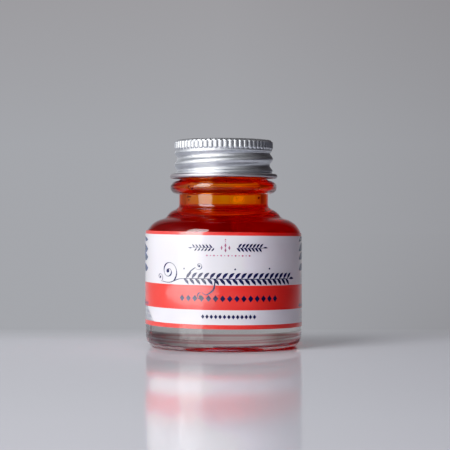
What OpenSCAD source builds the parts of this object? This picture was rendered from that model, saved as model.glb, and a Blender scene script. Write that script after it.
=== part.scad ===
// Round glass ink bottle with a label, an ink fill and a rolled aluminium screw cap.
// The base plane is z = 0, the bottle's axis is Z, and the label's front faces -Y.

/* [Bottle body] */
// Outer radius of the round body
body_r = 21; // [20:0.5:24]
// Thickness of the blown glass wall
wall = 2.3; // [1.6:0.1:2.6]
// Height where the wall turns into the shoulder
wall_top_z = 29; // [27:0.5:31]
// Thickness of the clear base, from the table to the ink
base_h = 6.5; // [5:0.5:8]
// Inner radius of the flat ring that the bottle stands on
ring_in_r = 16.9; // [14:0.1:17.5]
// Outer radius of the flat ring that the bottle stands on
ring_out_r = 18.7; // [18.2:0.1:19]
// Depth of the flat hollow under the base
punt_h = 1.8; // [0.5:0.1:3]
// Height of the curved heel above the table
heel_h = 3.6; // [2:0.1:4.5]

/* [Shoulder and neck] */
// Width of the main shoulder's curve, inwards from the wall
shoulder_w = 6; // [5:0.5:7]
// Height of the main shoulder's curve
shoulder_h = 5.5; // [5:0.1:6]
// Outer radius of the small step that stands on the shoulder
step_r = 15.7; // [15.2:0.1:16]
// Height of that step
step_h = 2.5; // [2:0.1:3]
// Outer radius of the bare neck
neck_r = 12; // [11.9:0.1:12.1]
// Radius of the bore through the neck
bore_r = 10.2; // [9:0.1:10.3]
// Height of the rim that the liner seals on
rim_z = 54; // [53.8:0.1:54.2]
// Height of the middle of the transfer ring
transfer_z = 42.75; // [42:0.05:43]
// How far the transfer ring stands out of the neck
transfer_w = 2.36; // [1.5:0.02:2.4]
// Half the height of the transfer ring
transfer_half_h = 1.87; // [1:0.01:1.9]

/* [Screw thread] */
// Rise of the thread in one turn
pitch = 3.5; // [3.5:0.1:3.6]
// Radius over the glass thread's crest
thread_r = 12.5; // [12.4:0.05:12.5]
// Radius of the neck between the thread's turns
root_r = 11.6; // [11.5:0.05:11.7]
// Angle that the glass thread runs round the neck
thread_turn = 520; // [400:10:540]
// Height of the thread's centre line where it starts
thread_start_z = 47; // [46.8:0.1:47.2]

/* [Ink and label] */
// Height of the ink's surface
ink_z = 33.5; // [30:0.1:38]
// Bottom edge of the label
label_z = 6; // [5:0.1:8]
// Height of the label
label_h = 24.9; // [20:0.1:25]
// Thickness of the label's paper
label_t = 0.13; // [0.08:0.01:0.2]

/* [Cap] */
// Height of the cap's flat top
cap_top_z = 55.5; // [55.4:0.1:55.7]
// Height of the cap
cap_h = 10.3; // [10:0.1:10.4]
// Radius over the knurls and over the rolled thread's crests
cap_r = 13.3; // [13.2:0.05:13.4]
// Thickness of the aluminium
sheet_t = 0.22; // [0.2:0.01:0.25]
// Number of knurls round the cap
knurl_count = 60; // [40:1:72]
// Depth of the knurls
knurl_d = 0.3; // [0.2:0.05:0.35]
// Lower end of the knurled band
knurl_z = 52.8; // [52.7:0.1:53]
// How deep the rolled thread is pressed in
roll_d = 0.85; // [0.5:0.05:0.9]
// Radius over the curled bead at the cap's lower edge
bead_r = 14.5; // [14:0.1:14.6]
// Radius of the bead's own round section
bead_section = 0.6; // [0.5:0.01:0.65]
// Radius of the foam liner
liner_r = 12.4; // [12:0.1:12.5]

/* [Hidden] */
// Facets that stand for a full circle
round_fn = 96;
// Gap between faces that rest on each other, so that they don't cross
rest_gap = 0.02;
// Inner radius of the body
inner_r = body_r - wall;
// Where the shoulder's curve has its centre
shoulder_r = body_r - shoulder_w;
// Top of the shoulder, which the step stands on
step_z = wall_top_z + shoulder_h;
// Width and height of the inner shoulder's curve
inner_turn_w = 6.3;
inner_turn_h = 5.6;
// Width and height of the round corner between the inner wall and the base
corner_w = 6;
corner_h = 5.5;
// Heights above the wall's top where the inside becomes the straight bore, and where it bends towards it
bore_start_h = 8.6;
bore_bend_h = 5.9;
// Which way that bend leaves the inner shoulder: inwards, and a little up
bend_start = [-2.2, 0.4];
// Rise of the inner floor towards its middle
floor_rise = 0.4;
// Width of the curve that rounds the edge of the hollow under the base
punt_round = 0.8;
// Curve that rounds the step: its width, how deep its centre lies, and how much taller than the step it is
step_round = 4.55;
step_sink = 1;
step_extra = 1.2;
// Fillet between the step and the neck
neck_fillet = 1.2;
// Height of the short plain neck between the transfer ring and the screw finish
finish_gap = 0.5;
// Rounding of the rim's edges
rim_round = 0.6;
// Half-widths of the glass thread at its root and at its crest
thread_root_w = 1;
thread_crest_w = 0.4;
// What is left of the thread at its two ends: share of its height, half-width of its root, share of its crest
end_height = 0.12;
end_root_w = 0.4;
end_crest = 0.4;
// How deep the thread's root is set in the neck, and the angle of each run-out
thread_sink = 0.3;
thread_runout = 40;
thread_step = 10;
// Height at which the rolled thread's crest passes the +X side
crest_z = thread_start_z;
// Ends of the rolled band, and the length over which the roll fades in and out
roll_low_z = 46.6;
roll_high_z = 52.6;
roll_fade = 0.8;
roll_rows = 17;
roll_columns = 60;
// Outer radius of the cap where it isn't rolled or knurled
plain_r = cap_r - knurl_d;
// Rounding of the cap's top edge
top_round = 0.6;
// Rounding of the curled edge's inner side
lip_round = 0.4;
// How far the knurls' roots lie inside the wall behind them
knurl_sink = 0.06;

// Points along an arc of an ellipse, from one angle to another
function arc(centre, radii, from, to, steps) =
    [for (i = [0:steps])
        let (a = from + (to - from) * i / steps)
        centre + [radii[0] * cos(a), radii[1] * sin(a)]];

// Points along a cubic curve between p0 and p3, which p1 and p2 pull on
function curve(p0, p1, p2, p3, steps) =
    [for (i = [0:steps])
        let (t = i / steps, s = 1 - t)
        s * s * s * p0 + 3 * s * s * t * p1 + 3 * s * t * t * p2 + t * t * t * p3];

// The outside of the glass in section, from the middle of the base up to the rim
function outer_wall() =
    let (
        step_top = step_z + step_h,
        heel = arc([ring_out_r, heel_h], [body_r - ring_out_r, heel_h], -90, 0, 10),
        shoulder = arc([shoulder_r, wall_top_z], [shoulder_w, shoulder_h], 0, 80, 14),
        step = arc([step_r - step_round, step_z - step_sink],
                   [step_round, step_h + step_extra], 14, 68, 8),
        fillet = arc([neck_r + neck_fillet, step_top + neck_fillet],
                     [neck_fillet, neck_fillet], 253, 180, 5),
        transfer = arc([neck_r, transfer_z], [transfer_w, transfer_half_h], -86, 86, 16),
        rim = arc([root_r - rim_round, rim_z - rim_round], [rim_round, rim_round], 0, 90, 5)
    )
    concat(
        [[0, punt_h]],
        arc([ring_in_r - punt_round, 0], [punt_round, punt_h], 90, 0, 6),
        heel, shoulder, step, fillet, transfer,
        [[root_r, transfer_z + transfer_half_h + finish_gap]],
        rim
    );

// The inside of the glass in section, from the rim down to the middle of the floor.
// inset draws it that much smaller, for what fills the bottle.
function inner_wall(inset = 0) =
    let (
        narrow = bore_r - inset,
        turn = arc([inner_r - inner_turn_w, wall_top_z - 1],
                   [inner_turn_w - inset, inner_turn_h - inset], 79, 0, 12)
    )
    concat(
        curve([narrow, wall_top_z + bore_start_h], [narrow, wall_top_z + bore_bend_h],
              turn[0] + bend_start, turn[0], 10),
        turn,
        arc([inner_r - corner_w, base_h + corner_h],
            [corner_w - inset, corner_h - inset], 0, -90, 10),
        [[0, base_h + floor_rise + inset]]
    );

// A ridge of trapezoid section that winds up the neck and fades out at both ends
module thread_ridge() {
    turns = [for (a = [0:thread_step:thread_turn]) a];
    last = len(turns) - 1;
    function fade(a) = min(1, a / thread_runout, (thread_turn - a) / thread_runout);
    function place(a, r, dz) =
        [r * cos(a), r * sin(a), thread_start_z + pitch * a / 360 + dz];
    function section(a) =
        let (
            h = max(end_height, fade(a)),
            crest = root_r + (thread_r - root_r) * h,
            root_w = end_root_w + (thread_root_w - end_root_w) * h,
            crest_w = thread_crest_w * (end_crest + (1 - end_crest) * h)
        )
        [place(a, root_r - thread_sink, -root_w), place(a, crest, -crest_w),
         place(a, crest, crest_w), place(a, root_r - thread_sink, root_w)];
    points = [for (a = turns) each section(a)];
    sides = [for (i = [0:last - 1], j = [0:3])
        let (k = (j + 1) % 4)
        each [[4 * i + j, 4 * i + k, 4 * i + 4 + k], [4 * i + j, 4 * i + 4 + k, 4 * i + 4 + j]]];
    ends = [[0, 3, 2], [0, 2, 1],
            [4 * last, 4 * last + 1, 4 * last + 2], [4 * last, 4 * last + 2, 4 * last + 3]];
    polyhedron(points, concat(sides, ends));
}

// The blown bottle, with its standing ring, shoulders, transfer ring and threaded neck
module glass_bottle() {
    color([0.86, 0.9, 0.89, 0.45])
    union() {
        rotate_extrude($fn = round_fn)
            polygon(concat(
                outer_wall(),
                arc([bore_r + rim_round, rim_z - rim_round], [rim_round, rim_round], 90, 180, 5),
                inner_wall()
            ));
        thread_ridge();
    }
}

// The ink, which fills the bottle up to the inner shoulder, below the neck
module ink() {
    color([0.55, 0.02, 0.02])
    rotate_extrude($fn = round_fn)
        intersection() {
            polygon(concat([[0, rim_z], [bore_r - rest_gap, rim_z]], inner_wall(rest_gap)));
            square([body_r, ink_z]);
        }
}

// The paper label, once round the body
module label() {
    color([0.93, 0.92, 0.94])
    translate([0, 0, label_z])
        difference() {
            cylinder(r = body_r + rest_gap / 2 + label_t, h = label_h, $fn = round_fn);
            translate([0, 0, -1])
                cylinder(r = body_r + rest_gap / 2, h = label_h + 2, $fn = round_fn);
        }
}

// The foam disc in the cap, which seals on the rim
module cap_liner() {
    color([0.96, 0.96, 0.95])
    translate([0, 0, rim_z + rest_gap])
        cylinder(r = liner_r, h = cap_top_z - sheet_t - rim_z - 2 * rest_gap, $fn = round_fn);
}

// Depth of the roll at a height: full in the middle of the band, none at its ends
function roll_depth(z) =
    let (edge = min(z - roll_low_z, roll_high_z - z) / roll_fade)
    edge >= 1 ? 1 : (1 - cos(180 * max(0, edge))) / 2;

// Outer radius of the rolled band at an angle and a height
function roll_r(a, z) =
    let (wave = cos(360 * (z - crest_z) / pitch - a), depth = roll_depth(z))
    plain_r * (1 - depth) + (cap_r - roll_d * (1 - wave) / 2) * depth;

// The cap's section at an angle: down the outside, round the bead and up the inside
function cap_section(a) =
    let (
        low = cap_top_z - cap_h,
        inside = plain_r - sheet_t,
        rows = [for (i = [0:roll_rows])
            let (z = roll_low_z + (roll_high_z - roll_low_z) * i / roll_rows) [roll_r(a, z), z]],
        corner = [plain_r - top_round, cap_top_z - top_round],
        inner_round = top_round - sheet_t
    )
    concat(
        arc(corner, [top_round, top_round], 90, 0, 4),
        [for (i = [roll_rows:-1:0]) rows[i]],
        arc([bead_r - bead_section, low + bead_section], [bead_section, bead_section], 115, -90, 8),
        arc([inside + lip_round, low + lip_round], [lip_round, lip_round], 270, 190, 2),
        [for (i = [0:roll_rows]) rows[i] - [sheet_t, 0]],
        arc(corner, [inner_round, inner_round], 0, 90, 3)
    );

// The pressed shell, closed over the top by a flat disc
module shell() {
    step = 360 / roll_columns;
    sections = [for (i = [0:roll_columns - 1]) cap_section(i * step)];
    count = len(sections[0]);
    top_middle = roll_columns * count;
    under_middle = top_middle + 1;
    points = concat(
        [for (i = [0:roll_columns - 1], p = sections[i])
            [p[0] * cos(i * step), p[0] * sin(i * step), p[1]]],
        [[0, 0, cap_top_z], [0, 0, cap_top_z - sheet_t]]
    );
    faces = [for (i = [0:roll_columns - 1])
        let (here = i * count, next = ((i + 1) % roll_columns) * count)
        each concat(
            [[top_middle, next, here], [under_middle, here + count - 1, next + count - 1]],
            [for (j = [here:here + count - 2]) [j, j - here + next, j - here + next + 1]],
            [for (j = [here:here + count - 2]) [j, j - here + next + 1, j + 1]]
        )];
    polyhedron(points, faces);
}

// A ring of points, for outlines that meet the shell's own facets
function ring_points(r, count) =
    [for (i = [0:count - 1]) r * [cos(360 * i / count), sin(360 * i / count)]];

// The knurls round the top of the skirt: the radius swings between a crest and a root
module knurls() {
    steps = 6 * knurl_count;
    translate([0, 0, knurl_z])
        linear_extrude(height = cap_top_z - top_round - knurl_z - 0.1)
            difference() {
                polygon([for (i = [0:steps - 1])
                    let (r = cap_r - (knurl_d + knurl_sink) * (1 - cos(360 * i / 6)) / 2)
                    [r * cos(360 * i / steps), r * sin(360 * i / steps)]]);
                polygon(ring_points(plain_r - sheet_t / 2, roll_columns));
            }
}

// The drawn aluminium cap: flat top, knurls, rolled thread and curled bead
module cap_shell() {
    color([0.78, 0.79, 0.81])
    union() {
        shell();
        knurls();
    }
}

glass_bottle();
ink();
label();
cap_liner();
cap_shell();
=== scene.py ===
"""The looks of a round ink bottle with a label, an ink fill and a rolled aluminium screw cap.

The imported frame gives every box. Lengths here are in millimetres until a mesh is made, angles are in
radians, the axis is Z, and the label's front faces -Y. Azimuths on the label grow to the right.
"""

import math

import bpy
import numpy as np
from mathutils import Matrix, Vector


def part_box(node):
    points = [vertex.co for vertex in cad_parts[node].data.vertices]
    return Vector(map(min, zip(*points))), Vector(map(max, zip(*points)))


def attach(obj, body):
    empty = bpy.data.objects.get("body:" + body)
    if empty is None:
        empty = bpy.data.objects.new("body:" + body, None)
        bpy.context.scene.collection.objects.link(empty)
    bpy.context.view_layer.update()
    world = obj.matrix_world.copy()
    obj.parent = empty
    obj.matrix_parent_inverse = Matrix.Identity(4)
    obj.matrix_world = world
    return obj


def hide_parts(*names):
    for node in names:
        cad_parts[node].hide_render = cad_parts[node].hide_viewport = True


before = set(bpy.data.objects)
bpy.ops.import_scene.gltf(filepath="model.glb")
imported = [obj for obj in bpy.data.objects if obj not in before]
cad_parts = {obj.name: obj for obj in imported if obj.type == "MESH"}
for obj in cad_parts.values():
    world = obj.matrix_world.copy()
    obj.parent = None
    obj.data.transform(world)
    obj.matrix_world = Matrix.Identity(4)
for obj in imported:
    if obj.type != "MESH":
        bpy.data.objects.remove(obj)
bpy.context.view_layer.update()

MM = 0.001


def box_mm(name):
    """Lowest and highest corner of a CAD node, in millimetres."""
    low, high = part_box(name)
    return low / MM, high / MM


# ---------------------------------------------------------------- dimensions
GLASS_HIGH = box_mm("glass_bottle")[1]
INK_LOW, INK_HIGH = box_mm("ink")
LABEL_LOW, LABEL_HIGH = box_mm("label")
LINER_LOW, LINER_HIGH = box_mm("cap_liner")
CAP_LOW, CAP_HIGH = box_mm("cap_shell")

# Body of the bottle
BODY_R = 21.0
WALL = 2.3
INNER_R = BODY_R - WALL
WALL_TOP_Z = 29.0
BASE_H = INK_LOW.z
FLOOR_RISE = 0.4
RING_IN_R = 16.9
RING_OUT_R = 18.7
PUNT_H, PUNT_ROUND = 1.8, 0.8
HEEL_H = 3.6
CORNER_W, CORNER_H = 6.0, 5.5

# Shoulder, step and neck
SHOULDER_W, SHOULDER_H = 6.0, 5.5
SHOULDER_R = BODY_R - SHOULDER_W
STEP_Z = WALL_TOP_Z + SHOULDER_H
STEP_R, STEP_H, STEP_ROUND = 15.7, 2.5, 4.55
STEP_SINK, STEP_EXTRA = 1.0, 1.2
STEP_TOP = STEP_Z + STEP_H
NECK_R = 12.0
NECK_FILLET = 1.2
BORE_R = 10.2
RIM_Z = GLASS_HIGH.z
RIM_ROUND = 0.6
TRANSFER_Z, TRANSFER_W, TRANSFER_HALF_H = 42.75, 2.36, 1.87
INNER_TURN_W, INNER_TURN_H = 6.3, 5.6
BORE_START_H, BORE_BEND_H = 8.6, 5.9
BEND_START = (-2.2, 0.4)
FINISH_GAP = 0.4

# Screw thread, right-handed
PITCH = 3.5
THREAD_R = 12.5
ROOT_R = 11.6
THREAD_TURN = math.radians(520)
THREAD_START_Z = 47.0
THREAD_RUNOUT = math.radians(40)
THREAD_HALF_W = 1.0

# Ink and label
INK_Z = INK_HIGH.z
MENISCUS_H, MENISCUS_L = 0.7, 1.3
FILM_TOP_Z, FILM_T = RIM_Z - 0.7, 0.04
FILM_DRAIN, FILM_DRAIN_Z = 0.07, 38.5
LABEL_R = LABEL_HIGH.x
LABEL_Z = LABEL_LOW.z
LABEL_H = LABEL_HIGH.z - LABEL_LOW.z
PAPER_T = 0.12
GLUE = 0.01
LABEL_TILT = 0.012

# Cap
CAP_TOP_Z, CAP_LOW_Z = CAP_HIGH.z, CAP_LOW.z
CAP_R = 13.3
SHEET_T = 0.22
KNURLS, KNURL_D, KNURL_Z = 60, 0.3, 52.8
PLAIN_R = CAP_R - KNURL_D
TOP_ROUND = 0.6
ROLL_D = 0.85
ROLL_LOW_Z, ROLL_HIGH_Z, ROLL_FADE = 46.6, 52.6, 0.8
BEAD_R, BEAD_SECTION = CAP_HIGH.x, 0.6
LIP_ROUND = 0.4

# Gap that keeps touching faces apart, too small to see
SKIN = 0.015


# ------------------------------------------------------------- mesh building
def arc(centre, radii, start, end, steps):
    """Points along an arc of an ellipse; the angles are in degrees."""
    angles = np.radians(np.linspace(start, end, steps + 1))
    return [(centre[0] + radii[0] * math.cos(a), centre[1] + radii[1] * math.sin(a)) for a in angles]


def line(start, end, steps):
    """Points along a straight line."""
    return [tuple(np.array(start) + (np.array(end) - start) * i / steps) for i in range(steps + 1)]


def curve(p0, p1, p2, p3, steps):
    """Points along a cubic curve from p0 to p3, which p1 and p2 pull on."""
    p0, p1, p2, p3 = (np.array(p, float) for p in (p0, p1, p2, p3))
    found = []
    for t in np.linspace(0, 1, steps + 1):
        s = 1 - t
        found.append(tuple(s * s * s * p0 + 3 * s * s * t * p1 + 3 * s * t * t * p2 + t * t * t * p3))
    return found


def smooth_step(x):
    """From 0 to 1 with no corner at either end."""
    t = np.clip(x, 0, 1)
    return t * t * (3 - 2 * t)


def mesh_piece(name, points, faces, materials, slots=None, sharp=40):
    """A new object from points in millimetres, smooth except where faces meet at more than sharp degrees."""
    mesh = bpy.data.meshes.new(name)
    mesh.from_pydata((np.asarray(points, float) * MM).tolist(), [], faces)
    for material in materials:
        mesh.materials.append(material)
    if slots is not None:
        mesh.polygons.foreach_set("material_index", np.asarray(slots, np.int32))
    mesh.shade_smooth()
    mesh.set_sharp_from_angle(angle=math.radians(sharp))
    mesh.validate()
    piece = bpy.data.objects.new(name, mesh)
    bpy.context.scene.collection.objects.link(piece)
    return piece


def turned(name, angles, radii, heights, materials, row_slots=None, ring=False, sharp=40):
    """A closed mesh of sections round the axis.

    radii and heights have one row per angle. The section goes up the outside, so that the normals point
    out. It starts and ends on the axis, or, if ring is set, it closes on itself.
    """
    angles = np.asarray(angles, float)
    columns, rows = radii.shape
    x = radii * np.cos(angles)[:, None]
    y = radii * np.sin(angles)[:, None]
    points = np.stack([x, y, heights], axis=2).reshape(-1, 3).tolist()
    faces = []
    slots = []
    bands = rows if ring else rows - 1
    for i in range(columns):
        here, after = i * rows, ((i + 1) % columns) * rows
        for j in range(bands):
            k = (j + 1) % rows
            faces.append((here + j, after + j, after + k, here + k))
            slots.append(0 if row_slots is None else row_slots[j])
    if not ring:
        first, last = len(points), len(points) + 1
        points.append((0, 0, float(heights[:, 0].mean())))
        points.append((0, 0, float(heights[:, -1].mean())))
        for i in range(columns):
            here, after = i * rows, ((i + 1) % columns) * rows
            faces.append((first, after, here))
            faces.append((here + rows - 1, after + rows - 1, last))
            slots.append(0 if row_slots is None else row_slots[0])
            slots.append(0 if row_slots is None else row_slots[-1])
    return mesh_piece(name, points, faces, materials, slots, sharp)


def sweep_section(section, angles):
    """The same section at every angle, as arrays that turned() takes."""
    section = np.array(section)
    return (np.repeat(section[None, :, 0], len(angles), 0), np.repeat(section[None, :, 1], len(angles), 0))


def even_angles(count):
    """Angles once round the axis."""
    return np.linspace(0, 2 * math.pi, count, endpoint=False)


# ----------------------------------------------------------------- materials
def node(material, kind, inputs=(), **settings):
    """Adds a node. inputs maps a socket to a value, or to the output that is linked to it."""
    made = material.node_tree.nodes.new(kind)
    for key, value in settings.items():
        setattr(made, key, value)
    for key, value in dict(inputs).items():
        if isinstance(value, bpy.types.NodeSocket):
            material.node_tree.links.new(value, made.inputs[key])
        else:
            made.inputs[key].default_value = value
    return made


def new_material(name, **values):
    """A material with one Principled shader. A socket's name is written with _ for each space."""
    material = bpy.data.materials.new(name)
    material.use_nodes = True
    shader = material.node_tree.nodes["Principled BSDF"]
    for key, value in values.items():
        shader.inputs[key.replace("_", " ")].default_value = value
    return material


def feed(material, **outputs):
    """Links outputs to the Principled shader's sockets."""
    shader = material.node_tree.nodes["Principled BSDF"]
    for key, output in outputs.items():
        material.node_tree.links.new(output, shader.inputs[key.replace("_", " ")])


def grain(material, scale, stretch=(1, 1, 1), detail=3.0, offset=(0, 0, 0)):
    """Noise fixed to the piece. scale is in features per metre, and stretch multiplies it along each axis."""
    place = node(material, "ShaderNodeTexCoord").outputs["Object"]
    moved = node(material, "ShaderNodeMapping", {"Vector": place, "Scale": stretch, "Location": offset})
    inputs = {"Vector": moved.outputs["Vector"], "Scale": scale, "Detail": detail}
    return node(material, "ShaderNodeTexNoise", inputs).outputs["Fac"]


def between(material, value, low, high):
    """How far a value has come from low to high, from 0 to 1."""
    inputs = {"Value": value, "From Min": low, "From Max": high}
    return node(material, "ShaderNodeMapRange", inputs).outputs[0]


def ramp(material, factor, *stops):
    """A colour or value for each factor. Each stop is (factor, colour or value)."""
    made = node(material, "ShaderNodeValToRGB", {"Fac": factor})
    band = made.color_ramp.elements
    while len(band) < len(stops):
        band.new(0.5)
    for element, (position, value) in zip(band, stops):
        colour = value if hasattr(value, "__len__") else (value, value, value)
        element.position = position
        element.color = (*colour, 1)
    return made.outputs["Color"]


def bump(material, height, strength, distance):
    """Small relief from a height, in metres."""
    made = node(material, "ShaderNodeBump", {"Height": height, "Strength": strength, "Distance": distance})
    feed(material, Normal=made.outputs["Normal"])


# Painted red reflection of the ink above, on the line where the heel starts
PAINTED_HEEL_RED = (0.55, 0.14, 0.14)


def glass_material(name, ior):
    """Clear flint glass with the faint ripple that a blow mould leaves. The base is painted darker as shade,
    and painted red low down and along the heel as a reflection of the ink.
    """
    material = new_material(name, Roughness=0.0, IOR=ior, Transmission_Weight=1.0)
    place = node(material, "ShaderNodeTexCoord").outputs["Object"]
    height = node(material, "ShaderNodeSeparateXYZ", {0: place}).outputs["Z"]
    share = node(material, "ShaderNodeMath", {0: height, 1: WALL_TOP_Z * MM}, operation="DIVIDE").outputs[0]
    # Painted shade and painted reflection: the base is darkened towards the bottom, with the ink's red
    # painted in at the heel line and under the punt
    tone = ramp(material, share, (0.02, (0.86, 0.56, 0.55)), (0.07, (0.84, 0.70, 0.68)), (0.078, PAINTED_HEEL_RED),
                (0.088, PAINTED_HEEL_RED), (0.10, (0.80, 0.76, 0.74)), (0.18, (0.80, 0.79, 0.76)),
                (0.26, (0.985, 0.99, 0.985)))
    feed(material, Base_Color=tone)
    ripple = grain(material, 260, (1, 1, 0.6), 2)
    bump(material, ripple, 0.25, 0.00002)
    return material


def surface_ior(material):
    """Takes the refractive index of each face from the mesh: 1 where a liquid touches glass, so that light
    passes straight on, because the wet glass has already bent it, and the liquid's own index against air."""
    source = node(material, "ShaderNodeAttribute", attribute_name="surface_ior", attribute_type="GEOMETRY")
    feed(material, IOR=source.outputs["Fac"])


def soak_up(material, colour, density):
    """Absorption inside a liquid: per metre it takes the density times what the colour lacks."""
    volume = node(material, "ShaderNodeVolumeAbsorption", {"Color": (*colour, 1), "Density": density})
    output = material.node_tree.nodes["Material Output"]
    material.node_tree.links.new(volume.outputs["Volume"], output.inputs["Volume"])


def ink_material():
    """Transparent red ink: it takes green and blue away within millimetres, and a faint painted glow lightens
    it.
    """
    # Painted glow: a faint red emission that lightens the ink
    material = new_material("red_ink", Base_Color=(0.98, 0.3, 0.15, 1), Roughness=0.0,
                            Transmission_Weight=1.0, Emission_Color=(1.0, 0.03, 0.0, 1),
                            Emission_Strength=0.01)
    surface_ior(material)
    soak_up(material, (0.9997, 0.55, 0.3), 2000.0)
    return material


def film_material():
    """The thin orange film of ink that clings to the inside of the neck, in faint vertical runs, with a faint
    painted glow.
    """
    # Painted glow: a faint orange emission that lightens the film
    material = new_material("ink_film", Roughness=0.0, Transmission_Weight=1.0,
                            Emission_Color=(1.0, 0.16, 0.0, 1), Emission_Strength=0.022)
    surface_ior(material)
    runs = grain(material, 420, (1, 1, 0.12), 3)
    feed(material, Base_Color=ramp(material, runs, (0.3, (0.995, 0.76, 0.12)), (0.7, (0.995, 0.96, 0.2))))
    soak_up(material, (0.9999, 0.91, 0.0), 130000.0)
    return material


def drop_material():
    """Drops of ink, thick enough to look nearly black."""
    material = new_material("ink_drops", Roughness=0.05, IOR=1.333)
    tone = ramp(material, grain(material, 900), (0.3, (0.02, 0.001, 0.0)), (0.7, (0.07, 0.005, 0.0)))
    feed(material, Base_Color=tone)
    return material


def paper_material(name, colour, fleck):
    """Coated label paper: a satin print surface with fine fibres under it."""
    material = new_material(name, Roughness=0.32, IOR=1.5, Coat_Weight=1.0, Coat_Roughness=0.06,
                            Subsurface_Weight=1.0, Subsurface_Radius=(1.0, 0.9, 0.9), Subsurface_Scale=0.0003)
    fibres = grain(material, 2600, (1, 1, 1), 4)
    clouds = grain(material, 160, (1, 1, 1), 2, (3, 1, 2))
    darker = tuple(c * (1 - fleck) for c in colour)
    tone = ramp(material, clouds, (0.3, darker), (0.7, colour))
    feed(material, Base_Color=tone)
    bump(material, fibres, 0.12, 0.00001)
    return material


def aluminium_material():
    """Drawn aluminium sheet: fine lines along the draw, and a curled edge painted darker and redder as shade
    and a reflection of the ink.
    """
    material = new_material("cap_aluminium", Metallic=1.0, IOR=1.5, Anisotropic=0.7)
    lines = grain(material, 2600, (1, 1, 0.03), 2)
    around = node(material, "ShaderNodeTangent", direction_type="RADIAL", axis="Z")
    clouds = grain(material, 240, (1, 1, 0.7), 3, (1, 5, 2))
    tone = ramp(material, clouds, (0.3, (0.62, 0.64, 0.68)), (0.7, (0.69, 0.71, 0.75)))
    place = node(material, "ShaderNodeTexCoord").outputs["Object"]
    height = node(material, "ShaderNodeSeparateXYZ", {0: place}).outputs["Z"]
    share = node(material, "ShaderNodeMath", {0: height, 1: CAP_TOP_Z * MM}, operation="DIVIDE").outputs[0]
    # Painted shade and painted reflection: at the bead the sheet is darkened and tinted red, as by the ink it
    # mirrors
    painted_bead_shade_and_reflection = ramp(material, share, (0.828, (0.80, 0.72, 0.72)), (0.842, (1, 1, 1)))
    mixed = node(material, "ShaderNodeMixRGB", {0: 1.0, 1: tone, 2: painted_bead_shade_and_reflection}, blend_type="MULTIPLY")
    feed(
        material,
        Base_Color=mixed.outputs[0],
        Roughness=ramp(material, lines, (0.3, 0.33), (0.7, 0.40)),
        Tangent=around.outputs["Tangent"],
    )
    bump(material, lines, 0.1, 0.000006)
    return material


def foam_material():
    """White foam sheet with closed cells, stained orange where the wet rim presses on it."""
    material = new_material("liner_foam", Roughness=0.75, IOR=1.45)
    cells = grain(material, 2400, (1, 1, 1), 2)
    place = node(material, "ShaderNodeTexCoord").outputs["Object"]
    flat = node(material, "ShaderNodeVectorMath", {0: place, 1: (1, 1, 0)}, operation="MULTIPLY")
    radius = node(material, "ShaderNodeVectorMath", {0: flat.outputs[0]}, operation="LENGTH").outputs["Value"]
    share = node(material, "ShaderNodeMath", {0: radius, 1: THREAD_R * MM}, operation="DIVIDE").outputs[0]
    white, stain = (0.86, 0.86, 0.83), (0.75, 0.28, 0.12)
    tone = ramp(material, share, (0.74, white), (0.80, stain), (0.90, stain), (0.95, white))
    feed(material, Base_Color=tone)
    bump(material, cells, 0.4, 0.00003)
    return material


# --------------------------------------------------------------------- glass
SEAM_AZIMUTH = math.radians(-81)
# Rows at each end of the outer section that the seam leaves out: the underside and the transfer ring
SEAM_CLEAR = 30
SEAM_HEIGHT, SEAM_HALF_W = 0.035, 0.3
# Waves of the inner wall: how many round the bottle, radians per millimetre up, phase, and size in
# millimetres. They fade out towards the bore and towards the axis.
WAVES = ((2, 0.21, 0.6, 0.07), (3, -0.13, 2.1, 0.05), (5, 0.34, 4.0, 0.03), (1, 0.09, 5.2, 0.06))
WAVE_END_Z, WAVE_FADE_H, WAVE_FADE_R = WALL_TOP_Z + 9, 8, 6


def wall_wave(angles, heights):
    """How far the inside of a blown wall strays from round, in millimetres."""
    total = np.zeros(np.broadcast(angles, heights).shape)
    for turns, climb, phase, size in WAVES:
        total += size * np.sin(turns * angles + climb * heights + phase)
    return total * smooth_step((WAVE_END_Z - heights) / WAVE_FADE_H)


def inner_section(inset, top_z):
    """The inside of the glass, from the middle of the floor up to a height in the bore."""
    narrow = BORE_R - inset
    turn = arc((INNER_R - INNER_TURN_W, WALL_TOP_Z - 1),
               (INNER_TURN_W - inset, INNER_TURN_H - inset), 0, 79, 20)
    neck = curve(turn[-1], np.add(turn[-1], BEND_START), (narrow, WALL_TOP_Z + BORE_BEND_H),
                 (narrow, WALL_TOP_Z + BORE_START_H), 14)
    corner = arc((INNER_R - CORNER_W, BASE_H + CORNER_H), (CORNER_W - inset, CORNER_H - inset), -90, 0, 20)
    floor = line((0.4, BASE_H + FLOOR_RISE + inset), corner[0], 12)
    wall = line(corner[-1], turn[0], 12)
    rest = line(neck[-1], (narrow, top_z), max(2, int((top_z - neck[-1][1]) / 1.5)))
    return floor[:-1] + corner[:-1] + wall[:-1] + turn[:-1] + neck[:-1] + rest


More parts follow.
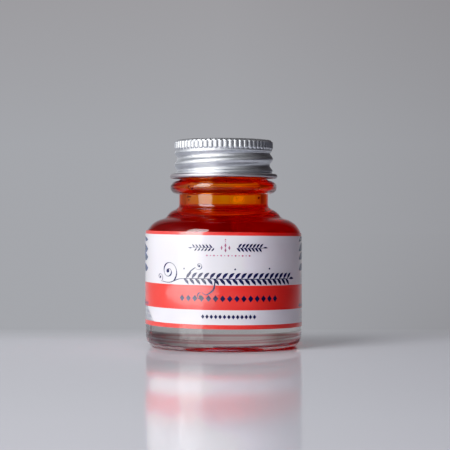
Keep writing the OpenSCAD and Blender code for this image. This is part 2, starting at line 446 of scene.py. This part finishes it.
def outer_section():
    """The outside of the glass, from the middle of the base up to the neck's finish."""
    punt = line((0.4, PUNT_H), (RING_IN_R - PUNT_ROUND, PUNT_H), 10)[:-1]
    punt += arc((RING_IN_R - PUNT_ROUND, 0), (PUNT_ROUND, PUNT_H), 90, 0, 16)
    heel = arc((RING_OUT_R, HEEL_H), (BODY_R - RING_OUT_R, HEEL_H), -90, 0, 18)
    shoulder = arc((SHOULDER_R, WALL_TOP_Z), (SHOULDER_W, SHOULDER_H), 0, 74, 24)
    step = arc((STEP_R - STEP_ROUND, STEP_Z - STEP_SINK), (STEP_ROUND, STEP_H + STEP_EXTRA), 24, 68, 16)
    corner = (STEP_R + 0.15, STEP_Z + 0.02)
    crease = curve(shoulder[-1], corner, corner, step[0], 8)[1:-1]
    fillet = arc((NECK_R + NECK_FILLET, STEP_TOP + NECK_FILLET), (NECK_FILLET, NECK_FILLET), 253, 180, 10)
    transfer = arc((NECK_R, TRANSFER_Z), (TRANSFER_W, TRANSFER_HALF_H), -90, 86, 36)
    neck = line(fillet[-1], transfer[0], 3)
    body = punt + heel + line(heel[-1], shoulder[0], 8)[1:-1] + shoulder + crease
    return body + step + fillet + neck[1:-1] + transfer


def thread_height(angles, heights):
    """How far the glass thread stands out of the neck's finish."""
    total = np.zeros(np.broadcast(angles, heights).shape)
    for turn in range(int(THREAD_TURN / (2 * math.pi)) + 1):
        run = angles + 2 * math.pi * turn
        off = np.abs(heights - THREAD_START_Z - PITCH * run / (2 * math.pi))
        fade = smooth_step(np.minimum(run, THREAD_TURN - run) / THREAD_RUNOUT)
        ridge = (THREAD_R - ROOT_R) * fade * smooth_step((THREAD_HALF_W - off) / (0.7 * THREAD_HALF_W))
        total = np.maximum(total, ridge)
    return total


def seam_height(angles):
    """The two fine vertical seams that the halves of the mould leave."""
    off = np.abs((angles - SEAM_AZIMUTH + math.pi / 2) % math.pi - math.pi / 2) * BODY_R
    return SEAM_HEIGHT * smooth_step(1 - off / SEAM_HALF_W)


def glass_angles():
    """Even columns, with closer ones at the two mould seams."""
    fine = [k * math.pi + SEAM_AZIMUTH + side * 0.1 / BODY_R for k in range(2) for side in range(-3, 4)]
    return np.sort(np.concatenate([even_angles(208), np.mod(fine, 2 * math.pi)]))


def make_glass(dry, wet):
    """The bottle as one closed mesh: dry glass, and the inside, which the ink and its film wet."""
    angles = glass_angles()
    outer = outer_section()
    finish = line((ROOT_R, outer[-1][1] + FINISH_GAP), (ROOT_R, RIM_Z - RIM_ROUND), 52)
    rim = arc((ROOT_R - RIM_ROUND, RIM_Z - RIM_ROUND), (RIM_ROUND, RIM_ROUND), 0, 90, 6)[1:]
    rim += arc((BORE_R + RIM_ROUND, RIM_Z - RIM_ROUND), (RIM_ROUND, RIM_ROUND), 90, 180, 6)
    inside = inner_section(0, FILM_TOP_Z)[::-1]
    section = outer + finish + rim + inside
    radii, heights = sweep_section(section, angles)
    a = angles[:, None]
    zone = slice(len(outer), len(outer) + len(finish))
    radii[:, zone] += thread_height(a, heights[:, zone])
    seam_rows = slice(SEAM_CLEAR, len(outer) - SEAM_CLEAR)
    radii[:, seam_rows] += seam_height(a)
    zone = slice(len(section) - len(inside), None)
    radii[:, zone] = waved(radii[:, zone], heights[:, zone], angles)
    row_slots = [1 if j >= len(section) - len(inside) else 0 for j in range(len(section))]
    return turned("glass_body", angles, radii, heights, [dry, wet], row_slots)


# ----------------------------------------------------------------------- ink
INK_IOR = 1.333


def mark_surface_ior(piece, against_air):
    """Stores each face's refractive index on the mesh, for surface_ior()."""
    attribute = piece.data.attributes.new("surface_ior", "FLOAT", "FACE")
    attribute.data.foreach_set("value", np.where(against_air, INK_IOR, 1.0).astype(np.float32))


def crossing(section, level):
    """Index of the first point above a level, and the point where the line crosses that level."""
    i = next(k for k, (r, z) in enumerate(section) if z > level)
    (r0, z0), (r1, z1) = section[i - 1], section[i]
    return i, (r0 + (r1 - r0) * (level - z0) / (z1 - z0), level)


def waved(radii, heights, angles):
    """The same section at every angle, with the waves of the blown wall."""
    a = np.asarray(angles)[:, None]
    return radii + wall_wave(a, heights) * smooth_step(radii / WAVE_FADE_R)


def make_ink(material):
    """The liquid, a hair inside the wet glass, with its free surface drawn up where it meets the wall."""
    angles = even_angles(160)
    side = inner_section(SKIN, FILM_TOP_Z)
    above, contact = crossing(side, INK_Z + MENISCUS_H - 0.02)
    side = side[:above] + [contact]
    edge = contact[0]
    reach = [edge * (1 - (i / 22) ** 1.8) for i in range(1, 22)]
    top = [(r, INK_Z + MENISCUS_H * math.exp((r - edge) / MENISCUS_L)) for r in reach]
    section = side + top
    radii, heights = sweep_section(section, angles)
    zone = slice(0, len(side))
    radii[:, zone] = waved(radii[:, zone], heights[:, zone], angles)
    piece = turned("ink_fill", angles, radii, heights, [material], sharp=60)
    against_air = [j >= len(side) - 1 for j in range(len(section) - 1)]
    closing = np.tile([False, True], len(angles))
    mark_surface_ior(piece, np.concatenate([np.tile(against_air, len(angles)), closing]))
    return piece


def make_film(material):
    """The film on the neck's inner wall, from the ink up to just under the rim."""
    angles = even_angles(160)
    outer = inner_section(SKIN, FILM_TOP_Z)
    above, start = crossing(outer, INK_Z + MENISCUS_H + 0.01)
    outer = [start] + outer[above:]
    section = outer + [(r - FILM_T - FILM_DRAIN * smooth_step((FILM_DRAIN_Z - z) / 3), z)
                       for r, z in outer[::-1]]
    radii, heights = sweep_section(section, angles)
    piece = turned("ink_film", angles, waved(radii, heights, angles), heights, [material], ring=True)
    against_air = [j >= len(outer) - 1 for j in range(len(section))]
    mark_surface_ior(piece, np.tile(against_air, len(angles)))
    return piece


# Drops on the neck's inner wall: azimuth from the front in degrees, height, width across and width upwards
DROPS = (
    (-58, 40.2, 0.8, 0.5), (-64, 40.3, 0.9, 0.6), (-70, 40.1, 0.7, 0.5), (-61, 39.4, 0.4, 0.4),
    (-57, 42.8, 0.9, 0.5), (-66, 42.7, 1.1, 0.6), (-49, 43.1, 0.4, 0.3), (-31, 43.6, 0.3, 0.3),
    (61, 43.2, 0.5, 0.6), (68, 42.6, 0.6, 0.5), (63, 39.9, 0.5, 0.6),
)
DROP_DEPTH = 0.4
DROP_GAP = 0.15


def make_drops(material):
    """Small drops of ink on the film, as flattened round bodies."""
    points, faces = [], []
    rings, columns = 6, 12
    for azimuth, z, width, height in DROPS:
        a = math.radians(azimuth)
        out = np.array([math.sin(a), -math.cos(a), 0]) * DROP_DEPTH / 2
        across = np.array([math.cos(a), math.sin(a), 0]) * width / 2
        upwards = np.array([0, 0, height / 2])
        middle = out * (2 * (BORE_R - DROP_GAP) / DROP_DEPTH - 1) + [0, 0, z]
        start = len(points)
        for i in range(1, rings):
            polar = math.pi * i / rings
            for turn in even_angles(columns):
                rim = math.sin(polar) * (across * math.cos(turn) + upwards * math.sin(turn))
                points.append(middle + out * math.cos(polar) + rim)
        points += [middle + out, middle - out]
        outer, inner, last = len(points) - 2, len(points) - 1, start + (rings - 2) * columns
        for j in range(columns):
            k = (j + 1) % columns
            faces += [(outer, start + j, start + k), (inner, last + k, last + j)]
            for row in range(start, last, columns):
                faces.append((row + j, row + columns + j, row + columns + k, row + k))
    return mesh_piece("ink_drops", points, faces, [material], sharp=80)


# --------------------------------------------------------------------- label
STRIPES = (0, 1.13, 4.9, 11.25, 24.05, LABEL_H)
STRIPE_SLOTS = (1, 0, 1, 0, 1)
WRAP_START = -math.pi - 0.05
WRAP_END = math.pi + 0.05
# The upper end starts to climb over the lower one this far before the back, within this angle
OVERLAP_START, OVERLAP_CLIMB = 0.08, 0.03
# How far the paper's top edge leans in towards the shoulder, and the height over which it does
LEAN, LEAN_H = 0.18, 1.6


def on_label(u, v, lift):
    """A point on the label: u is how far to the right of its front, v how high above its lower edge."""
    azimuth = u / LABEL_R
    radius = LABEL_R + lift
    radius += smooth_step((azimuth - math.pi + OVERLAP_START) / OVERLAP_CLIMB) * (PAPER_T + GLUE)
    radius -= LEAN * smooth_step((v - LABEL_H + LEAN_H) / LEAN_H)
    height = LABEL_Z + v - LABEL_TILT * u
    return (radius * math.sin(azimuth), -radius * math.cos(azimuth), height)


def strip_mesh(name, grid_out, grid_in, materials, band_slots):
    """A closed thin sheet from two grids of points: [column][row], the outside first."""
    columns, rows = len(grid_out), len(grid_out[0])
    points = [p for column in grid_out for p in column] + [p for column in grid_in for p in column]
    back = columns * rows
    faces = []
    slots = []
    for i in range(columns - 1):
        for j in range(rows - 1):
            a, b = i * rows + j, (i + 1) * rows + j
            faces.append((a, b, b + 1, a + 1))
            faces.append((back + a, back + a + 1, back + b + 1, back + b))
            slots += [band_slots[j], 0]
        low, high = i * rows, i * rows + rows - 1
        faces.append((low, back + low, back + low + rows, low + rows))
        faces.append((high, high + rows, back + high + rows, back + high))
        slots += [0, 0]
    last = (columns - 1) * rows
    for j in range(rows - 1):
        faces.append((j, j + 1, back + j + 1, back + j))
        faces.append((last + j, back + last + j, back + last + j + 1, last + j + 1))
        slots += [0, 0]
    return mesh_piece(name, points, faces, materials, slots)


def label_rows():
    """Heights of the label's rows, with one on every edge between two stripes, and each band's slot."""
    rows = [0.0]
    slots = []
    for low, high, slot in zip(STRIPES, STRIPES[1:], STRIPE_SLOTS):
        steps = max(1, round((high - low) / 0.8))
        rows += [low + (high - low) * k / steps for k in range(1, steps + 1)]
        slots += [slot] * steps
    return rows, slots


def make_label(white, coral):
    """The paper, wrapped once round the body so that its ends overlap at the back."""
    rows, slots = label_rows()
    azimuths = np.linspace(WRAP_START, WRAP_END, 260)
    outside = [[on_label(a * LABEL_R, v, 0) for v in rows] for a in azimuths]
    inside = [[on_label(a * LABEL_R, v, BODY_R - GLUE - LABEL_R) for v in rows] for a in azimuths]
    return strip_mesh("label_wrap", outside, inside, [white, coral], slots)


# --------------------------------------------------------------------- print
NAVY, PINK, BLUE = 0, 1, 2
PRINT_T, PRINT_SINK = 0.016, 0.01
LILAC_T = 0.008
THINNEST = 0.012
SLANT = math.radians(57)


def smooth_path(points, steps=7):
    """A smooth line through points."""
    p = np.array([points[0], *points, points[-1]], float)
    found = [p[1]]
    for a, b, c, d in zip(p, p[1:], p[2:], p[3:]):
        for t in np.linspace(0, 1, steps + 1)[1:]:
            square, cube = 2 * a - 5 * b + 4 * c - d, 3 * b - a - 3 * c + d
            found.append((2 * b + (c - a) * t + square * t ** 2 + cube * t ** 3) / 2)
    return np.array(found)


def along(path):
    """The direction of a line at each of its points."""
    step = np.gradient(path, axis=0)
    return step / np.linalg.norm(step, axis=1)[:, None]


def pen_stroke(ink, points, thin, thick):
    """A line as a flexible nib draws it: thick where it runs along the slant, with pointed ends."""
    path = smooth_path(points)
    run = along(path) @ np.array([math.cos(SLANT), math.sin(SLANT)])
    ends = np.minimum(np.linspace(0, 1, len(path)), np.linspace(1, 0, len(path)))
    width = (thin + (thick - thin) * np.abs(run) ** 4) * smooth_step(ends * 12)
    return ink, path, np.maximum(width / 2, THINNEST)


def leaf(ink, u, v, length, width, slant=SLANT):
    """A pointed leaf that starts at a point and leans at an angle."""
    t = np.linspace(0, 1, 9)
    bow = 0.08 * length * np.sin(math.pi * t)
    path = np.stack([u + t * length * math.cos(slant) - bow * math.sin(slant),
                     v + t * length * math.sin(slant) + bow * math.cos(slant)], axis=1)
    return ink, path, np.maximum(width / 2 * np.sin(math.pi * t) ** 0.9, THINNEST)


def lozenge(ink, u, v, width, height):
    """A small upright diamond round a point."""
    path = np.array([(u, v - height / 2), (u, v), (u, v + height / 2)])
    return ink, path, np.array([THINNEST, width / 2, THINNEST])


def dot(ink, u, v, size):
    """A round dot."""
    t = np.linspace(-1, 1, 9)
    path = np.stack([np.full(9, u), v + t * size / 2], axis=1)
    return ink, path, np.maximum(size / 2 * np.sqrt(1 - t * t), THINNEST)


def volute(ink, u, v, radius, turns, start, thin, thick):
    """A spiral that winds in towards its middle and ends in a dot."""
    t = np.linspace(0, 1, 30)
    angle = start + 2 * math.pi * turns * t
    reach = radius * (1 - t) ** 1.2 + 0.12 * radius
    points = np.stack([u + reach * np.cos(angle), v + reach * np.sin(angle)], axis=1)
    return [pen_stroke(ink, points, thin, thick), dot(ink, *points[-1], 2.2 * thick)]


def branch(ink, start, end, level, leaf_size, spread, gap):
    """A laurel branch: a thin stem along the label with pairs of leaves that point towards its end."""
    ahead = math.copysign(1, end - start)
    lean = math.radians(90 - ahead * 90)
    stem = [(u, level) for u in np.linspace(start, end, 12)]
    strokes = [pen_stroke(ink, stem, 0.09 * leaf_size, 0.2 * leaf_size)]
    for u in np.arange(start, end - ahead * gap / 2, ahead * gap):
        for side in (-1, 1):
            angle = lean + ahead * side * spread
            strokes.append(leaf(ink, u + ahead * side * gap / 4, level, leaf_size, 0.36 * leaf_size, angle))
    return strokes + [leaf(ink, end - ahead * 0.2 * leaf_size, level, leaf_size, 0.3 * leaf_size, lean)]


def top_ornament():
    """Two small laurel branches that point outwards, four pink lozenges between them, and dots."""
    strokes = branch(NAVY, -2.6, -8.4, 20.9, 1.25, math.radians(48), 0.92)
    strokes += branch(NAVY, 3.6, 10.9, 20.9, 1.45, math.radians(48), 0.98)
    strokes += [lozenge(PINK, u, v, 0.6, 1.25)
                for u, v in ((-0.5, 20.9), (0.5, 21.5), (0.5, 20.3), (1.5, 20.9))]
    strokes += [dot(PINK, 0.5, 23.0, 0.42), dot(PINK, 0.5, 22.5, 0.26)]
    return strokes + [dot(PINK, -4.3 + 0.925 * i, 18.9, 0.34 if i % 2 else 0.5) for i in range(13)]


def main_ornament():
    """A large volute that runs out into a laurel branch, with berries and two tendrils."""
    strokes = volute(NAVY, -15.6, 14.6, 2.8, 1.7, math.radians(-86), 0.18, 0.5)
    strokes += volute(NAVY, -19.0, 13.0, 1.1, 1.2, math.radians(-60), 0.12, 0.3)
    strokes += [pen_stroke(NAVY, [(-18.6, 12.0), (-15.4, 11.7), (-12.0, 12.7), (-9.0, 12.9)], 0.18, 0.45)]
    strokes += branch(NAVY, -10.4, 20.4, 12.9, 2.2, math.radians(46), 1.62)
    strokes += volute(NAVY, -6.4, 16.2, 1.0, 1.3, math.radians(-150), 0.12, 0.3)
    strokes += [pen_stroke(NAVY, [(-9.4, 13.2), (-8.9, 14.6), (-7.3, 15.8)], 0.14, 0.4)]
    strokes += [dot(NAVY, u, v, 0.5) for u, v in ((-10.6, 15.4), (3.0, 15.4), (12.6, 15.6))]
    strokes += [pen_stroke(NAVY, [(-2.2, 12.4), (-2.6, 10.2), (-4.4, 8.8), (-5.6, 9.4)], 0.18, 0.5)]
    return strokes + volute(NAVY, -5.9, 8.3, 1.0, 1.3, math.radians(80), 0.16, 0.4)


def side_ornaments():
    """Leaves that lie round the sides of the label, each row of them pointing to the front."""
    strokes = []
    for side in (-1, 1):
        back = math.radians(90 - 80 * side)
        for v, length, width in ((15.0, 5.4, 2.0), (17.9, 6.0, 2.1), (20.1, 6.6, 2.2), (22.6, 5.0, 1.2)):
            strokes.append(leaf(BLUE, side * 26.2, v, length, width, back))
        strokes += [lozenge(NAVY, side * (26.6 + 1.7 * i), 5.7, 1.3, 1.3) for i in range(4)]
    return strokes


def front_ornaments():
    """Everything printed on the label: laurel, volutes, lozenges and dots, and no lettering."""
    strokes = top_ornament() + main_ornament() + side_ornaments()
    strokes += [lozenge(NAVY, -11.2 + 1.83 * i, 7.85, 1.45, 1.75) for i in range(15)]
    return strokes + [lozenge(NAVY, -5.4 + 1.13 * i, 3.2, 0.95, 1.2) for i in range(13)]


def make_print(strokes, materials):
    """All strokes as one piece of thin closed ribbons that lie on the paper."""
    points, faces, slots = [], [], []
    for ink, path, half in strokes:
        run = along(path)
        side = np.stack([-run[:, 1], run[:, 0]], axis=1) * half[:, None]
        start = len(points)
        for left, right in zip(path + side, path - side):
            points += [on_label(*left, PRINT_T), on_label(*right, PRINT_T)]
            points += [on_label(*right, -PRINT_SINK), on_label(*left, -PRINT_SINK)]
        last = len(points) - 4
        for here in range(start, last, 4):
            faces += [(here + j, here + (j + 1) % 4, here + 4 + (j + 1) % 4, here + 4 + j) for j in range(4)]
        faces += [(start, start + 3, start + 2, start + 1), (last, last + 1, last + 2, last + 3)]
        slots += [ink] * ((last - start) + 2)
    return mesh_piece("label_print", points, faces, materials, slots)


def make_corner(name, side, tip_u, foot_u, material):
    """A painted reflection of the table, in lilac, on the lower white stripe, from a slanted edge at the
    front round to the back.
    """
    low, high = STRIPES[1], STRIPES[2]
    far_u = side * (math.pi - 0.12) * LABEL_R
    levels = np.linspace(low, high, 4)
    edge = [foot_u + (tip_u - foot_u) * (v - low) / (high - low) for v in levels]
    shares = np.linspace(0, 1, 70) if side < 0 else np.linspace(1, 0, 70)
    grids = [[[on_label(far_u + (u - far_u) * t, v, lift) for u, v in zip(edge, levels)] for t in shares]
             for lift in (LILAC_T, -PRINT_SINK)]
    return strip_mesh(name, *grids, [material], [0] * (len(levels) - 1))


# ----------------------------------------------------------------------- cap
def roll_radius(angles, heights):
    """Outer radius of the skirt where the thread is rolled into it."""
    wave = np.cos(2 * math.pi * (heights - THREAD_START_Z) / PITCH - angles)
    depth = smooth_step(np.minimum(heights - ROLL_LOW_Z, ROLL_HIGH_Z - heights) / ROLL_FADE)
    return PLAIN_R * (1 - depth) + (CAP_R - ROLL_D * (1 - wave) / 2) * depth


def knurl_height(angles, heights):
    """Height of the knurls: round-backed ribs with round lower ends."""
    across = 2 * np.abs((angles * KNURLS / (2 * math.pi)) % 1 - 0.5)
    half = math.pi * CAP_R / KNURLS
    below = np.clip((KNURL_Z + half - heights) / half, 0, 2)
    above = np.clip((heights - CAP_TOP_Z + TOP_ROUND + 0.15) / 0.3, 0, 2)
    off = np.sqrt(across ** 2 + below ** 2 + above ** 2)
    return KNURL_D * np.clip(1 - off ** 3, 0, 1)


def make_cap(material):
    """The cap's sheet as one closed mesh: inside, curled bead, rolled thread, knurls and flat top."""
    angles = even_angles(KNURLS * 10)
    a = angles[:, None]
    inside = PLAIN_R - SHEET_T
    under = line((0.5, CAP_TOP_Z - SHEET_T), (PLAIN_R - TOP_ROUND, CAP_TOP_Z - SHEET_T), 6)
    under += arc((PLAIN_R - TOP_ROUND, CAP_TOP_Z - TOP_ROUND), (TOP_ROUND - SHEET_T,) * 2, 90, 0, 4)[1:]
    inner_z = np.linspace(ROLL_HIGH_Z, ROLL_LOW_Z, 34)
    lip = arc((inside + LIP_ROUND, CAP_LOW_Z + LIP_ROUND), (LIP_ROUND, LIP_ROUND), 190, 270, 5)
    bead = arc((BEAD_R - BEAD_SECTION, CAP_LOW_Z + BEAD_SECTION), (BEAD_SECTION, BEAD_SECTION), -90, 118, 14)
    flare = curve(bead[-1], (BEAD_R - 1.05, CAP_LOW_Z + 0.95), (PLAIN_R + 0.15, ROLL_LOW_Z - 0.25),
                  (PLAIN_R, ROLL_LOW_Z), 6)[1:-1]
    outer_z = np.linspace(ROLL_LOW_Z, ROLL_HIGH_Z, 46)
    band = line((PLAIN_R, ROLL_HIGH_Z + 0.1), (PLAIN_R, CAP_TOP_Z - TOP_ROUND), 22)
    top = arc((PLAIN_R - TOP_ROUND, CAP_TOP_Z - TOP_ROUND), (TOP_ROUND, TOP_ROUND), 0, 90, 8)[1:]
    top += line((PLAIN_R - TOP_ROUND, CAP_TOP_Z), (0.5, CAP_TOP_Z), 6)[1:]
    parts = [under, [(inside, z) for z in inner_z], lip, bead, flare,
             [(PLAIN_R, z) for z in outer_z], band, top]
    starts = np.cumsum([0] + [len(p) for p in parts])
    radii, heights = sweep_section(sum(parts, []), angles)
    rolled_in = slice(starts[1], starts[2])
    rolled_out = slice(starts[5], starts[6])
    knurled = slice(starts[6], starts[7] + 4)
    radii[:, rolled_in] = roll_radius(a, heights[:, rolled_in]) - SHEET_T
    radii[:, rolled_out] = roll_radius(a, heights[:, rolled_out])
    radii[:, knurled] += knurl_height(a, heights[:, knurled])
    return turned("cap_skirt_and_top", angles, radii, heights, [material])


def make_liner(material):
    """The foam disc inside the cap."""
    angles = even_angles(96)
    radius, low, high, edge = LINER_HIGH.x, LINER_LOW.z, LINER_HIGH.z, 0.12
    section = line((0.4, low), (radius - edge, low), 12)
    section += arc((radius - edge, low + edge), (edge, edge), -90, 0, 4)[1:]
    section += arc((radius - edge, high - edge), (edge, edge), 0, 90, 4)
    section += line((radius - edge, high), (0.4, high), 6)[1:]
    radii, heights = sweep_section(section, angles)
    return turned("foam_liner", angles, radii, heights, [material])


# ---------------------------------------------------------------- the pieces
white_paper = paper_material("white_paper", (0.82, 0.785, 0.89), 0.03)
coral_paper = paper_material("coral_paper", (0.92, 0.060, 0.049), 0.05)
# Painted reflection: the lilac patches on the lower white stripe stand in for the table mirrored there
lilac_table_reflection = paper_material("lilac_table_reflection", (0.52, 0.50, 0.68), 0.03)
navy_print = paper_material("navy_print", (0.010, 0.012, 0.09), 0.1)
pink_print = paper_material("pink_print", (0.70, 0.20, 0.34), 0.1)
blue_print = paper_material("blue_print", (0.012, 0.06, 0.19), 0.1)

glass = make_glass(glass_material("clear_glass", 1.52), glass_material("clear_glass_wet", 1.143))
ink = make_ink(ink_material())
film = make_film(film_material())
drops = make_drops(drop_material())
label = make_label(white_paper, coral_paper)
ornaments = make_print(front_ornaments(), [navy_print, pink_print, blue_print])
corner_left = make_corner("label_corner_left", -1, -26.5, -22.0, lilac_table_reflection)
corner_right = make_corner("label_corner_right", 1, 31.5, 23.5, lilac_table_reflection)
cap = make_cap(aluminium_material())
liner = make_liner(foam_material())

for piece, body, replaced, slot in (
    (glass, "bottle", "glass_bottle", "clear_glass"),
    (ink, "bottle", "ink", "red_ink"),
    (film, "bottle", None, "red_ink"),
    (drops, "bottle", None, "red_ink"),
    (label, "bottle", "label", "label_paper"),
    (ornaments, "bottle", None, "label_paper"),
    (corner_left, "bottle", None, "label_paper"),
    (corner_right, "bottle", None, "label_paper"),
    (cap, "cap", "cap_shell", "cap_aluminium"),
    (liner, "liner", "cap_liner", "liner_foam"),
):
    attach(piece, body)
    if replaced:
        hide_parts(replaced)


# --------------------------------------------------------------------- stage
WALL_GREY = (0.388, 0.396, 0.422)
CEILING = (0.05, 0.05, 0.05, 1)
# Between which heights of a direction, as sines, the horizon's light gives way, and then the walls' light
HORIZON_END, WALLS_END = (0.05, 0.3), (0.7, 0.95)
WINDOW_AZIMUTH = -48.5
# Where painted shade darkens the table to the right, and where it ends behind the bottle and beside it, in
# metres
TABLE_SHADE_X, TABLE_END_Y, TABLE_END_X = (-0.02, 0.06), (0.018, 0.062), (0.09, 0.16)
# The room's light at each azimuth, from straight behind the bottle round its left to behind again: at the
# horizon, and from about 17 to 45 degrees up
ROOM = (
    (0.0, WALL_GREY, (0.30, 0.275, 0.28)),
    (0.055, WALL_GREY, (0.28, 0.26, 0.265)),
    (0.09, (0.18, 0.17, 0.17), (0.12, 0.12, 0.12)),
    (0.17, (0.30, 0.30, 0.32), (0.20, 0.20, 0.21)),
    (0.24, (0.60, 0.62, 0.66), (0.60, 0.63, 0.68)),
    (0.31, (0.66, 0.68, 0.72), (0.60, 0.63, 0.67)),
    (0.42, (0.34, 0.34, 0.37), (0.38, 0.39, 0.42)),
    (0.49, (0.10, 0.10, 0.11), (0.40, 0.40, 0.43)),
    (0.61, (0.08, 0.08, 0.09), (0.21, 0.21, 0.22)),
    (0.72, (0.10, 0.10, 0.11), (0.07, 0.06, 0.06)),
    (0.89, (0.08, 0.075, 0.08), (0.05, 0.045, 0.045)),
    (0.93, (0.23, 0.225, 0.24), (0.15, 0.145, 0.15)),
    (1.0, WALL_GREY, (0.30, 0.275, 0.28)),
)


def room_share(material, x, y):
    """The share of a turn that a direction lies at: 0 straight behind, 0.25 at the left, 0.5 in front."""
    toward = node(material, "ShaderNodeMath", {0: y, 1: -1.0}, operation="MULTIPLY").outputs[0]
    turn = node(material, "ShaderNodeMath", {0: x, 1: toward}, operation="ARCTAN2").outputs[0]
    return between(material, turn, -math.pi, math.pi)


def make_floor():
    """A pale satin table painted darker to the right as shade, and beyond it a matte ground as dark as the
    room's walls in each direction.
    """
    size = 3.0
    mesh = bpy.data.meshes.new("floor")
    corners = [(-size, -size, 0), (size, -size, 0), (size, size, 0), (-size, size, 0)]
    mesh.from_pydata(corners, [], [(0, 1, 2, 3)])
    material = new_material("floor", Roughness=0.10, IOR=1.45)
    place = node(material, "ShaderNodeTexCoord").outputs["Object"]
    parts = node(material, "ShaderNodeSeparateXYZ", {0: place}).outputs
    # Painted shade: the table's colour darkens towards its right
    right = between(material, parts["X"], *TABLE_SHADE_X)
    feed(material, Base_Color=ramp(material, right, (0.0, (0.77, 0.78, 0.85)), (1.0, (0.68, 0.69, 0.76))))
    behind = between(material, parts["Y"], *TABLE_END_Y)
    aside = node(material, "ShaderNodeMath", {0: parts["X"]}, operation="ABSOLUTE").outputs[0]
    beside = between(material, aside, *TABLE_END_X)
    far = node(material, "ShaderNodeMath", {0: behind, 1: beside}, operation="MAXIMUM").outputs[0]
    from_front = node(material, "ShaderNodeMath", {0: parts["Y"], 1: 0.25}, operation="ADD").outputs[0]
    share = room_share(material, parts["X"], from_front)
    level = ramp(material, share, *((place, low) for place, low, high in ROOM))
    table = material.node_tree.nodes["Principled BSDF"].outputs[0]
    ground = node(material, "ShaderNodeEmission", {"Color": level}).outputs[0]
    both = node(material, "ShaderNodeMixShader", {0: far, 1: table, 2: ground}).outputs[0]
    material.node_tree.links.new(both, material.node_tree.nodes["Material Output"].inputs["Surface"])
    mesh.materials.append(material)
    floor = bpy.data.objects.new("floor", mesh)
    bpy.context.scene.collection.objects.link(floor)


def area_lamp(name, direction, distance, height, size, radiance):
    """A rectangular light that the camera doesn't see, in a direction and at a distance from the bottle."""
    light = bpy.data.lights.new(name, "AREA")
    light.shape = "RECTANGLE"
    light.size, light.size_y = size
    light.energy = radiance * math.pi * light.size * light.size_y
    lamp = bpy.data.objects.new(name, light)
    lamp.location = (distance * math.sin(direction), -distance * math.cos(direction), height)
    lamp.visible_camera = False
    bpy.context.scene.collection.objects.link(lamp)
    return lamp


def window_pane(name, azimuth, low, high, half_angle, radiance):
    """One soft light that stands upright, seen from the bottle between two elevations in degrees."""
    distance = 1.2
    direction = math.radians(azimuth)
    bottom, top = distance * math.tan(math.radians(low)), distance * math.tan(math.radians(high))
    width = 2 * distance * math.tan(math.radians(half_angle))
    lamp = area_lamp(name, direction, distance, (bottom + top) / 2, (width, top - bottom), radiance)
    lamp.rotation_euler = (math.pi / 2, 0, direction)


def window_on_table(azimuth, near, far, width, radiance):
    """The sheen that the window leaves on the table, between two distances from the bottle in metres."""
    direction = math.radians(azimuth)
    above_table = 0.0005
    size = (width, far - near)
    lamp = area_lamp("window_on_table", direction, (near + far) / 2, above_table, size, radiance)
    lamp.rotation_euler = (math.pi, 0, direction)
    lamp.visible_transmission = False


def make_world():
    """The room's walls: bright behind the bottle and to its left, darker to its right."""
    world = bpy.data.worlds.new("room")
    world.use_nodes = True
    bpy.context.scene.world = world
    place = node(world, "ShaderNodeTexCoord").outputs["Generated"]
    parts = node(world, "ShaderNodeSeparateXYZ", {0: place})
    share = room_share(world, parts.outputs["X"], parts.outputs["Y"])
    level = ramp(world, share, *((place, low) for place, low, high in ROOM))
    raised = ramp(world, share, *((place, high) for place, low, high in ROOM))
    rise = between(world, parts.outputs["Z"], *HORIZON_END)
    walls = node(world, "ShaderNodeMixRGB", {"Fac": rise, "Color1": level, "Color2": raised}).outputs[0]
    overhead = between(world, parts.outputs["Z"], *WALLS_END)
    inputs = {"Fac": overhead, "Color1": walls, "Color2": CEILING}
    room = node(world, "ShaderNodeMixRGB", inputs).outputs[0]
    world.node_tree.links.new(room, world.node_tree.nodes["Background"].inputs["Color"])


def make_camera():
    """Level with the bottle's shoulder, at the photograph's distance."""
    data = bpy.data.cameras.new("camera")
    data.lens = 118.5
    data.sensor_width = 36
    data.clip_start = 0.01
    camera = bpy.data.objects.new("camera", data)
    camera.location = (0.00038, -0.400, 0.0342)
    camera.rotation_euler = (math.radians(90 - 0.22), 0, 0)
    bpy.context.scene.collection.objects.link(camera)
    bpy.context.scene.camera = camera


make_floor()
make_world()
window_pane("window_high", WINDOW_AZIMUTH, 12, 58, 18.5, radiance=8.6)
window_pane("window_low", WINDOW_AZIMUTH, -1.2, 12, 18.5, radiance=4.2)
window_on_table(WINDOW_AZIMUTH, near=0.22, far=1.15, width=0.42, radiance=3.4)
make_camera()

scene = bpy.context.scene
scene.view_settings.view_transform = "Standard"
scene.view_settings.use_curve_mapping = True
# The sensor's response: a toe that takes the haze out of the darkest tones, and a soft shoulder
response = scene.view_settings.curve_mapping
response.black_level = (0.008, 0.008, 0.008)
response.curves[3].points[-1].location = (1.0, 0.84)
for place, level in ((0.02, 0.008), (0.06, 0.045), (0.12, 0.115), (0.65, 0.64)):
    response.curves[3].points.new(place, level).handle_type = "VECTOR"
response.update()
scene.cycles.max_bounces = 32
scene.cycles.transmission_bounces = 24
scene.cycles.transparent_max_bounces = 24
scene.cycles.diffuse_bounces = 10
scene.cycles.glossy_bounces = 12
